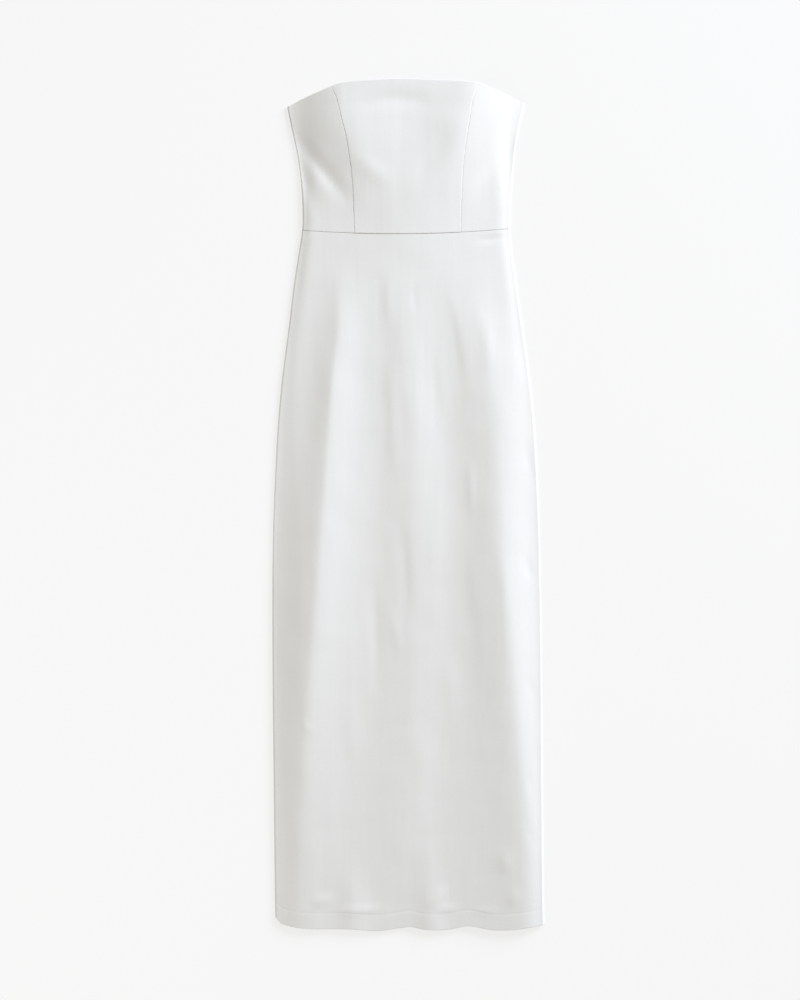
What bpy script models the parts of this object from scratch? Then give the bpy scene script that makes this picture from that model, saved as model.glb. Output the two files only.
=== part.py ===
"""A strapless column dress in satin, laid flat on its back.

Metres, with +Z up off the surface, +Y towards the top edge and +X to the right seen from above.
The origin is on the surface, under the middle of the dress. Left and right are those seen from
above, so the left side here is the wearer's right.
"""

import bisect
import math
from collections import namedtuple

import bmesh
import bpy

# Cloth, seams and levels
CLOTH = 0.0015
SEAM_GAP = 0.0003
SIDE_SEAM_HEIGHT = 0.0035
BACK_ROLL = 0.0035
FRONT_ROLL = 0.010
FRONT_LEVEL = 0.0078
ROLL_STEPS = 4
BODICE_PROUD = 0.0010
CENTRE_PANEL_PROUD = 0.0005
CENTRE_BACK_X = -0.002

# Outline from hem to top edge, a row for each level of the dress
Level = namedtuple("Level", "y left right")
OUTLINE = (
    Level(-0.675, -0.2110, 0.2160),
    Level(-0.627, -0.2121, 0.2148),
    Level(-0.436, -0.2142, 0.2132),
    Level(-0.246, -0.2160, 0.2116),
    Level(-0.055, -0.2153, 0.2085),
    Level(0.088, -0.2097, 0.2029),
    Level(0.184, -0.2026, 0.1949),
    Level(0.279, -0.1907, 0.1822),
    Level(0.351, -0.1819, 0.1719),
    Level(0.398, -0.1748, 0.1652),
    Level(0.435, -0.1692, 0.1616),
    Level(0.454, -0.1681, 0.1619),
    Level(0.492, -0.1692, 0.1633),
    Level(0.530, -0.1724, 0.1663),
    Level(0.568, -0.1787, 0.1697),
    Level(0.607, -0.1875, 0.1775),
    Level(0.640, -0.1927, 0.1840),
)

# Princess seams of the bodice, between the centre front and the side fronts
PRINCESS_SEAMS = (
    Level(0.433, -0.0860, 0.0828),
    Level(0.475, -0.0870, 0.0838),
    Level(0.513, -0.0889, 0.0854),
    Level(0.549, -0.0929, 0.0879),
    Level(0.581, -0.0981, 0.0918),
    Level(0.613, -0.1061, 0.0972),
    Level(0.640, -0.1128, 0.1010),
    Level(0.675, -0.1230, 0.1115),
)

# Edges that run across the dress, a row for each place along them
Edge = namedtuple("Edge", "x y")
TOP_EDGE = (
    Edge(-0.1927, 0.6340),
    Edge(-0.1720, 0.6430),
    Edge(-0.1530, 0.6510),
    Edge(-0.1200, 0.6640),
    Edge(-0.1056, 0.6685),
    Edge(-0.0580, 0.6726),
    Edge(-0.0100, 0.6750),
    Edge(0.0470, 0.6728),
    Edge(0.1040, 0.6702),
    Edge(0.1140, 0.6678),
    Edge(0.1330, 0.6607),
    Edge(0.1520, 0.6535),
    Edge(0.1840, 0.6392),
)
BACK_TOP_EDGE = (
    Edge(-0.1927, 0.6335),
    Edge(-0.1000, 0.6265),
    Edge(-0.0020, 0.6230),
    Edge(0.1000, 0.6275),
    Edge(0.1840, 0.6385),
)
HEM = (
    Edge(-0.2110, -0.6545),
    Edge(-0.2042, -0.6622),
    Edge(-0.1930, -0.6663),
    Edge(-0.1723, -0.6702),
    Edge(-0.1469, -0.6718),
    Edge(-0.0913, -0.6720),
    Edge(-0.0484, -0.6750),
    Edge(-0.0117, -0.6702),
    Edge(0.0042, -0.6686),
    Edge(0.0200, -0.6718),
    Edge(0.0439, -0.6734),
    Edge(0.0677, -0.6718),
    Edge(0.0948, -0.6670),
    Edge(0.1234, -0.6718),
    Edge(0.1425, -0.6734),
    Edge(0.1711, -0.6718),
    Edge(0.2029, -0.6670),
    Edge(0.2160, -0.6650),
)
WAIST_Y = 0.4305
WAIST_LIFT = 0.0078
WAIST_TILT = 0.0016
HALF_WAIST = 0.168

# Soft folds and the fullness of the bust: each follows its stations up the dress, with its crest's place
# and rise and the width of its two flanks. A roundness of 2 is a soft crest, and a lower one a crisper.
Fold = namedtuple("Fold", "roundness stations")
Station = namedtuple("Station", "y x rise left right")
FOLDS = {
    "left_fold": Fold(1.65, (
        Station(-0.675, -0.176, 0.0040, 0.060, 0.050),
        Station(-0.530, -0.172, 0.0060, 0.060, 0.048),
        Station(-0.340, -0.163, 0.0104, 0.056, 0.045),
        Station(-0.150, -0.147, 0.0128, 0.054, 0.044),
        Station(-0.055, -0.140, 0.0124, 0.046, 0.044),
        Station(0.120, -0.126, 0.0098, 0.033, 0.038),
        Station(0.200, -0.120, 0.0082, 0.028, 0.034),
        Station(0.280, -0.110, 0.0052, 0.026, 0.030),
        Station(0.345, -0.107, 0.0022, 0.026, 0.028),
        Station(0.410, -0.106, 0.0, 0.026, 0.028),
    )),
    "middle_fold": Fold(2.0, (
        Station(-0.640, -0.012, 0.0, 0.045, 0.040),
        Station(-0.530, -0.010, 0.0022, 0.045, 0.036),
        Station(-0.340, 0.006, 0.0030, 0.048, 0.045),
        Station(-0.150, 0.012, 0.0038, 0.048, 0.055),
        Station(-0.055, 0.012, 0.0050, 0.050, 0.050),
        Station(0.120, 0.008, 0.0048, 0.046, 0.034),
        Station(0.200, 0.002, 0.0040, 0.038, 0.032),
        Station(0.280, -0.006, 0.0024, 0.028, 0.040),
        Station(0.345, -0.010, 0.0008, 0.026, 0.040),
        Station(0.400, -0.012, 0.0, 0.026, 0.040),
    )),
    "right_fold": Fold(1.9, (
        Station(-0.675, 0.192, 0.0070, 0.080, 0.030),
        Station(-0.532, 0.186, 0.0098, 0.080, 0.030),
        Station(-0.340, 0.168, 0.0110, 0.068, 0.040),
        Station(-0.150, 0.153, 0.0118, 0.056, 0.047),
        Station(-0.055, 0.145, 0.0112, 0.055, 0.050),
        Station(0.120, 0.138, 0.0084, 0.052, 0.048),
        Station(0.200, 0.130, 0.0068, 0.047, 0.045),
        Station(0.280, 0.115, 0.0042, 0.042, 0.042),
        Station(0.345, 0.100, 0.0016, 0.040, 0.042),
        Station(0.410, 0.096, 0.0, 0.040, 0.042),
    )),
    "left_side": Fold(2.0, (
        Station(-0.675, -0.211, -0.0028, 0.030, 0.030),
        Station(-0.246, -0.216, -0.0036, 0.030, 0.035),
        Station(0.088, -0.210, -0.0028, 0.030, 0.030),
        Station(0.200, -0.201, -0.0014, 0.030, 0.022),
        Station(0.300, -0.188, 0.0, 0.030, 0.020),
    )),
    "right_side": Fold(2.0, (
        Station(-0.675, 0.216, -0.0028, 0.028, 0.030),
        Station(-0.246, 0.212, -0.0032, 0.030, 0.030),
        Station(0.088, 0.203, -0.0028, 0.028, 0.030),
        Station(0.200, 0.193, -0.0014, 0.022, 0.030),
        Station(0.300, 0.180, 0.0, 0.020, 0.030),
    )),
    "left_underarm": Fold(2.0, (
        Station(0.480, -0.169, 0.0, 0.030, 0.020),
        Station(0.540, -0.174, -0.0020, 0.030, 0.024),
        Station(0.590, -0.183, -0.0030, 0.030, 0.030),
        Station(0.640, -0.193, -0.0030, 0.030, 0.034),
    )),
    "right_underarm": Fold(2.0, (
        Station(0.480, 0.162, 0.0, 0.020, 0.030),
        Station(0.540, 0.167, -0.0020, 0.024, 0.030),
        Station(0.590, 0.174, -0.0030, 0.030, 0.030),
        Station(0.640, 0.184, -0.0030, 0.034, 0.030),
    )),
    "left_hem_wave": Fold(2.0, (
        Station(-0.675, -0.088, 0.0026, 0.020, 0.024),
        Station(-0.610, -0.092, 0.0018, 0.020, 0.024),
        Station(-0.520, -0.096, 0.0, 0.020, 0.024),
    )),
    "right_hem_wave": Fold(2.0, (
        Station(-0.675, 0.036, 0.0030, 0.020, 0.022),
        Station(-0.600, 0.032, 0.0018, 0.020, 0.022),
        Station(-0.500, 0.028, 0.0, 0.020, 0.022),
    )),
    "midriff": Fold(2.0, (
        Station(0.060, -0.010, 0.0, 0.120, 0.120),
        Station(0.200, -0.008, 0.0015, 0.120, 0.120),
        Station(0.330, -0.006, 0.0045, 0.120, 0.120),
        Station(0.430, -0.004, 0.0072, 0.120, 0.120),
        Station(0.500, -0.004, 0.0094, 0.120, 0.120),
        Station(0.580, -0.004, 0.0100, 0.120, 0.120),
        Station(0.675, -0.004, 0.0100, 0.120, 0.120),
    )),
    "left_bust": Fold(1.7, (
        Station(0.450, -0.072, 0.0, 0.050, 0.050),
        Station(0.517, -0.080, 0.0030, 0.045, 0.060),
        Station(0.565, -0.090, 0.0072, 0.056, 0.060),
        Station(0.605, -0.103, 0.0094, 0.062, 0.068),
        Station(0.640, -0.107, 0.0094, 0.062, 0.075),
        Station(0.675, -0.110, 0.0080, 0.062, 0.080),
    )),
    "right_bust": Fold(1.8, (
        Station(0.450, 0.060, 0.0, 0.050, 0.050),
        Station(0.517, 0.070, 0.0026, 0.050, 0.050),
        Station(0.565, 0.074, 0.0060, 0.045, 0.055),
        Station(0.605, 0.084, 0.0082, 0.048, 0.060),
        Station(0.640, 0.096, 0.0084, 0.052, 0.060),
        Station(0.675, 0.104, 0.0072, 0.055, 0.060),
    )),
    "top_flare": Fold(2.0, (
        Station(0.630, -0.004, 0.0, 0.120, 0.120),
        Station(0.675, -0.004, 0.0024, 0.120, 0.120),
    )),
}

# Closed zip inside the centre back seam, and its slider
ZIP_LENGTH = 0.400
ZIP_TAPE_WIDTH = 0.022
ZIP_TAPE = 0.0008
ZIP_CHAIN_WIDTH = 0.0036
ZIP_CHAIN_HEIGHT = 0.0009
ZIP_TOP_INSET = 0.001
SLIDER_WIDTH = 0.0056
SLIDER_LENGTH = 0.010
SLIDER_HEIGHT = 0.0020
PULL_WIDTH = 0.0046
PULL_LENGTH = 0.022
PULL_THICKNESS = 0.0010

# Colours, roughness and metallic value
SATIN = ((0.86, 0.85, 0.83, 1.0), 0.42, 0.0)
ZIP_TAPE_FINISH = ((0.80, 0.79, 0.76, 1.0), 0.75, 0.0)
SLIDER_FINISH = ((0.72, 0.71, 0.69, 1.0), 0.35, 1.0)


def clear_scene():
    for obj in list(bpy.data.objects):
        bpy.data.objects.remove(obj, do_unlink=True)


def finish(name, look):
    colour, roughness, metallic = look
    material = bpy.data.materials.new(name)
    material.use_nodes = True
    shader = material.node_tree.nodes["Principled BSDF"]
    shader.inputs["Base Color"].default_value = colour
    shader.inputs["Roughness"].default_value = roughness
    shader.inputs["Metallic"].default_value = metallic
    return material


def new_collection(name):
    collection = bpy.data.collections.new(name)
    bpy.context.scene.collection.children.link(collection)
    return collection


def read(rows, key, column):
    """The column at a key between the rows, on a smooth curve that levels off at its two ends."""
    keys = [row[0] for row in rows]
    if key <= keys[0]:
        return getattr(rows[0], column)
    if key >= keys[-1]:
        return getattr(rows[-1], column)
    low = bisect.bisect_right(keys, key) - 1
    values = [getattr(row, column) for row in rows]

    def slope(index):
        if index in (0, len(rows) - 1):
            return 0.0
        return (values[index + 1] - values[index - 1]) / (keys[index + 1] - keys[index - 1])

    span = keys[low + 1] - keys[low]
    t = (key - keys[low]) / span
    ease = t * t * (3 - 2 * t)
    leave = t * (1 - t) ** 2 * span * slope(low)
    arrive = t * t * (t - 1) * span * slope(low + 1)
    return values[low] * (1 - ease) + values[low + 1] * ease + leave + arrive


def front_height(x, y):
    """Height of the outer face of the front over the surface, without the seams' small steps."""
    height = FRONT_LEVEL
    for fold in FOLDS.values():
        away = x - read(fold.stations, y, "x")
        width = read(fold.stations, y, "left" if away < 0 else "right")
        height += read(fold.stations, y, "rise") * math.exp(-(abs(away / width) ** fold.roundness))
    return height


def waist(x):
    share = x / HALF_WAIST
    return WAIST_Y + WAIST_LIFT * share**2 + WAIST_TILT * share


def outline_left(y):
    return read(OUTLINE, y, "left")


def outline_right(y):
    return read(OUTLINE, y, "right")


def princess_left(y):
    return read(PRINCESS_SEAMS, y, "left")


def princess_right(y):
    return read(PRINCESS_SEAMS, y, "right")


def centre_back(y):
    return CENTRE_BACK_X


def hem(x):
    return read(HEM, x, "y")


def top_edge(x):
    return read(TOP_EDGE, x, "y")


def back_top_edge(x):
    return read(BACK_TOP_EDGE, x, "y")


def beside(line, side):
    """A line moved half a seam gap towards one side, -1 or 1."""
    return lambda at: line(at) + side * SEAM_GAP / 2


# A side of the dress: where its side seams lie, how wide they roll, and which way its outer face looks
Layer = namedtuple("Layer", "seam_height roll facing height")
FRONT = Layer(SIDE_SEAM_HEIGHT + SEAM_GAP, FRONT_ROLL, 1, front_height)
BACK = Layer(SIDE_SEAM_HEIGHT, BACK_ROLL, -1, lambda x, y: 0.0)

# A cut piece: its four edges as lines, which of its sides roll into a side seam, and how far it stands out
Panel = namedtuple("Panel", "layer left right low high rolls_left rolls_right proud")


def columns_of(panel, between):
    """The grid's columns: some round each rolled side, as (side, share of the roll), and the rest between."""
    turns = [step / ROLL_STEPS for step in range(ROLL_STEPS)]
    columns = [("middle", step / between) for step in range(between + 1)]
    if panel.rolls_left:
        columns = [("left", turn) for turn in turns] + columns
    if panel.rolls_right:
        columns = columns + [("right", turn) for turn in reversed(turns)]
    return columns


def cloth_point(panel, column, level, inset):
    """The point of a panel at a column and a share of its height, moved in from the outer face by inset."""
    side, share = column
    layer = panel.layer
    turn = share * math.pi / 2
    swing = 1 - math.cos(turn)
    x = y = (panel.low(0) + panel.high(0)) / 2
    for _ in range(6):
        start = panel.left(y) + layer.roll * panel.rolls_left
        end = panel.right(y) - layer.roll * panel.rolls_right
        if side == "left":
            x = panel.left(y) + layer.roll * swing
        elif side == "right":
            x = panel.right(y) - layer.roll * swing
        else:
            x = start + (end - start) * share
        y = panel.low(x) + (panel.high(x) - panel.low(x)) * level
    if side == "middle":
        z = layer.height(x, y) + layer.facing * (panel.proud - inset)
        return x, y, z
    shoulder = start if side == "left" else end
    rise = abs(layer.height(shoulder, y) - layer.seam_height) + panel.proud
    z = layer.seam_height + layer.facing * (rise - inset) * math.sin(turn)
    inward = 1 if side == "left" else -1
    return x + inward * inset * (1 - swing), y, z


def add_cloth(name, panel, between, rows, collection):
    """A closed wall of cloth: a grid raised to two layers, which then take the panel's outer and inner faces."""
    columns = columns_of(panel, between)
    bm = bmesh.new()
    bmesh.ops.create_grid(bm, x_segments=len(columns) - 1, y_segments=rows, size=0.5)
    raised = bmesh.ops.extrude_face_region(bm, geom=bm.faces[:], use_keep_orig=True)["geom"]
    outer = {part for part in raised if isinstance(part, bmesh.types.BMVert)}
    for vertex in bm.verts:
        column = columns[round((vertex.co.x + 0.5) * (len(columns) - 1))]
        inset = 0.0 if vertex in outer else CLOTH
        vertex.co = cloth_point(panel, column, vertex.co.y + 0.5, inset)
    bmesh.ops.recalc_face_normals(bm, faces=bm.faces[:])
    mesh = bpy.data.meshes.new(name)
    bm.to_mesh(mesh)
    bm.free()
    mesh.shade_smooth()
    mesh.set_sharp_from_angle(angle=math.radians(50))
    mesh.materials.append(finish(name, SATIN))
    obj = bpy.data.objects.new(name, mesh)
    collection.objects.link(obj)
    return obj


def add_bodice(collection):
    low = beside(waist, 1)
    side_left = Panel(FRONT, outline_left, beside(princess_left, -1), low, top_edge, True, False, BODICE_PROUD)
    side_right = Panel(FRONT, beside(princess_right, 1), outline_right, low, top_edge, False, True, BODICE_PROUD)
    centre = Panel(
        FRONT, beside(princess_left, 1), beside(princess_right, -1), low, top_edge, False, False,
        BODICE_PROUD + CENTRE_PANEL_PROUD,
    )
    back_left = Panel(BACK, outline_left, beside(centre_back, -1), low, back_top_edge, True, False, 0.0)
    back_right = Panel(BACK, beside(centre_back, 1), outline_right, low, back_top_edge, False, True, 0.0)
    add_cloth("bodice_centre_front", centre, 16, 16, collection)
    add_cloth("bodice_side_front_left", side_left, 9, 16, collection)
    add_cloth("bodice_side_front_right", side_right, 9, 16, collection)
    add_cloth("bodice_back_left", back_left, 4, 10, collection)
    add_cloth("bodice_back_right", back_right, 4, 10, collection)


def add_skirt(collection):
    high = beside(waist, -1)
    front = Panel(FRONT, outline_left, outline_right, hem, high, True, True, 0.0)
    back_left = Panel(BACK, outline_left, beside(centre_back, -1), hem, high, True, False, 0.0)
    back_right = Panel(BACK, beside(centre_back, 1), outline_right, hem, high, False, True, 0.0)
    add_cloth("skirt_front", front, 36, 30, collection)
    add_cloth("skirt_back_left", back_left, 14, 18, collection)
    add_cloth("skirt_back_right", back_right, 14, 18, collection)


def add_zip(collection):
    """The tapes and the closed chain as one hat-shaped section, drawn out along the centre back."""
    low = CLOTH + SEAM_GAP
    half_tape = ZIP_TAPE_WIDTH / 2
    half_chain = ZIP_CHAIN_WIDTH / 2
    crown = half_chain * 0.7
    section = (
        (-half_tape, low),
        (half_tape, low),
        (half_tape, low + ZIP_TAPE),
        (half_chain, low + ZIP_TAPE),
        (crown, low + ZIP_TAPE + ZIP_CHAIN_HEIGHT),
        (-crown, low + ZIP_TAPE + ZIP_CHAIN_HEIGHT),
        (-half_chain, low + ZIP_TAPE),
        (-half_tape, low + ZIP_TAPE),
    )
    top = back_top_edge(CENTRE_BACK_X) - ZIP_TOP_INSET
    bm = bmesh.new()
    face = bm.faces.new([bm.verts.new((CENTRE_BACK_X + x, top - ZIP_LENGTH, z)) for x, z in section])
    drawn = bmesh.ops.extrude_face_region(bm, geom=[face], use_keep_orig=True)["geom"]
    for vertex in drawn:
        if isinstance(vertex, bmesh.types.BMVert):
            vertex.co.y = top
    bmesh.ops.recalc_face_normals(bm, faces=bm.faces[:])
    mesh = bpy.data.meshes.new("back_zip")
    bm.to_mesh(mesh)
    bm.free()
    mesh.materials.append(finish("back_zip", ZIP_TAPE_FINISH))
    collection.objects.link(bpy.data.objects.new("back_zip", mesh))


def add_block(name, size, centre, round_edges, collection):
    """A block with rounded edges, at its real size and place."""
    bpy.ops.mesh.primitive_cube_add(size=1.0)
    block = bpy.context.object
    block.name = name
    block.data.name = name
    for vertex in block.data.vertices:
        vertex.co = [coordinate * side for coordinate, side in zip(vertex.co, size)]
    block.location = centre
    bevel = block.modifiers.new("round_edges", "BEVEL")
    bevel.width = round_edges
    bevel.segments = 2
    for holder in list(block.users_collection):
        holder.objects.unlink(block)
    collection.objects.link(block)
    return block


def add_slider(collection, helpers):
    """The slider at the top of the chain, with its pull turned up past the top edge of the back."""
    top = back_top_edge(CENTRE_BACK_X) - ZIP_TOP_INSET
    body_low = CLOTH + SEAM_GAP + ZIP_TAPE + ZIP_CHAIN_HEIGHT + SEAM_GAP
    body_y = top - SLIDER_LENGTH / 2
    body = add_block(
        "zip_slider", (SLIDER_WIDTH, SLIDER_LENGTH, SLIDER_HEIGHT),
        (CENTRE_BACK_X, body_y, body_low + SLIDER_HEIGHT / 2), 0.0006, collection,
    )
    pull = add_block(
        "zip_pull_shape", (PULL_WIDTH, PULL_LENGTH, PULL_THICKNESS),
        (CENTRE_BACK_X, top + PULL_LENGTH / 2 - SLIDER_LENGTH / 2, body_low + SLIDER_HEIGHT / 2), 0.0004, helpers,
    )
    pull.hide_render = True
    pull.display_type = "WIRE"
    join = body.modifiers.new("join_pull", "BOOLEAN")
    join.operation = "UNION"
    join.object = pull
    body.data.materials.append(finish("zip_slider", SLIDER_FINISH))


def main():
    clear_scene()
    dress = new_collection("strapless_dress")
    helpers = new_collection("helpers")
    add_bodice(dress)
    add_skirt(dress)
    add_zip(dress)
    add_slider(dress, helpers)


main()
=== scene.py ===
"""A strapless column dress in off-white satin, laid flat, with its studio stage.

Metres, +Z up off the surface, +Y towards the top edge, +X to the right seen from above. Left and
right are those seen from above. The outline and the seams repeat the frame's own sizes, the folds
follow its folds closely, and each panel here takes the place of the frame's plain one.
"""

import math
from collections import namedtuple

import bmesh
import bpy
import numpy as np
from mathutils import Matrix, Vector


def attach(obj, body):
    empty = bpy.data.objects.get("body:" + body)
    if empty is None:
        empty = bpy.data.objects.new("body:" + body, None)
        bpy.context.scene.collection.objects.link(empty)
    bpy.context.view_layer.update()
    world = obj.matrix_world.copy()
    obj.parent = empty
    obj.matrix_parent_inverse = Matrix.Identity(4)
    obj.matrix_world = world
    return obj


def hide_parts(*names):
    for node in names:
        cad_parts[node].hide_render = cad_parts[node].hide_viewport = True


bl_info = {
    "name": "Strapless Satin Dress",
    "version": (1, 0, 0),
    "blender": (4, 5, 0),
    "location": "3D View > Sidebar > Dress",
    "description": "Models a strapless satin dress laid flat, piece by piece, with its stage",
    "category": "Add Mesh",
}

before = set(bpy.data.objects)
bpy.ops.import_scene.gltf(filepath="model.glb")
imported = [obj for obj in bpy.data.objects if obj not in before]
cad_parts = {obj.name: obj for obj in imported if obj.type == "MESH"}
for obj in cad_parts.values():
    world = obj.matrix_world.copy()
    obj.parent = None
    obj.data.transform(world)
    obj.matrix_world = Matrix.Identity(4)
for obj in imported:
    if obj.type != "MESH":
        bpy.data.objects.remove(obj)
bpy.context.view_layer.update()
BODY = "root"

# Outline from hem to top edge, a row for each level of the dress
Level = namedtuple("Level", "y left right")
OUTLINE = (
    Level(-0.675, -0.2110, 0.2160),
    Level(-0.627, -0.2121, 0.2148),
    Level(-0.436, -0.2142, 0.2132),
    Level(-0.246, -0.2160, 0.2116),
    Level(-0.055, -0.2153, 0.2085),
    Level(0.088, -0.2097, 0.2029),
    Level(0.184, -0.2026, 0.1949),
    Level(0.279, -0.1907, 0.1822),
    Level(0.351, -0.1819, 0.1719),
    Level(0.398, -0.1748, 0.1652),
    Level(0.435, -0.1692, 0.1616),
    Level(0.454, -0.1681, 0.1619),
    Level(0.492, -0.1692, 0.1633),
    Level(0.530, -0.1724, 0.1663),
    Level(0.568, -0.1787, 0.1697),
    Level(0.607, -0.1875, 0.1775),
    Level(0.640, -0.1927, 0.1840),
)

# Princess seams of the bodice, between the centre front and the side fronts
PRINCESS_SEAMS = (
    Level(0.433, -0.0860, 0.0828),
    Level(0.475, -0.0870, 0.0838),
    Level(0.513, -0.0889, 0.0854),
    Level(0.549, -0.0929, 0.0879),
    Level(0.581, -0.0981, 0.0918),
    Level(0.613, -0.1061, 0.0972),
    Level(0.640, -0.1128, 0.1010),
    Level(0.675, -0.1230, 0.1115),
)

# Edges that run across the dress, a row for each place along them
Edge = namedtuple("Edge", "x y")
TOP_EDGE = (
    Edge(-0.1927, 0.6340),
    Edge(-0.1720, 0.6430),
    Edge(-0.1530, 0.6510),
    Edge(-0.1200, 0.6640),
    Edge(-0.1056, 0.6685),
    Edge(-0.0580, 0.6726),
    Edge(-0.0100, 0.6750),
    Edge(0.0470, 0.6728),
    Edge(0.1040, 0.6702),
    Edge(0.1140, 0.6678),
    Edge(0.1330, 0.6607),
    Edge(0.1520, 0.6535),
    Edge(0.1840, 0.6392),
)
BACK_TOP_EDGE = (
    Edge(-0.1927, 0.6335),
    Edge(-0.1000, 0.6265),
    Edge(-0.0020, 0.6230),
    Edge(0.1000, 0.6275),
    Edge(0.1840, 0.6385),
)
HEM = (
    Edge(-0.2110, -0.6545),
    Edge(-0.2042, -0.6622),
    Edge(-0.1930, -0.6663),
    Edge(-0.1723, -0.6702),
    Edge(-0.1469, -0.6718),
    Edge(-0.0913, -0.6720),
    Edge(-0.0484, -0.6750),
    Edge(-0.0117, -0.6702),
    Edge(0.0042, -0.6686),
    Edge(0.0200, -0.6718),
    Edge(0.0439, -0.6734),
    Edge(0.0677, -0.6718),
    Edge(0.0948, -0.6670),
    Edge(0.1234, -0.6718),
    Edge(0.1425, -0.6734),
    Edge(0.1711, -0.6718),
    Edge(0.2029, -0.6670),
    Edge(0.2160, -0.6650),
)
WAIST_Y = 0.4305
WAIST_LIFT = 0.0078
WAIST_TILT = 0.0016
HALF_WAIST = 0.168
CENTRE_BACK_X = -0.002

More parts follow.
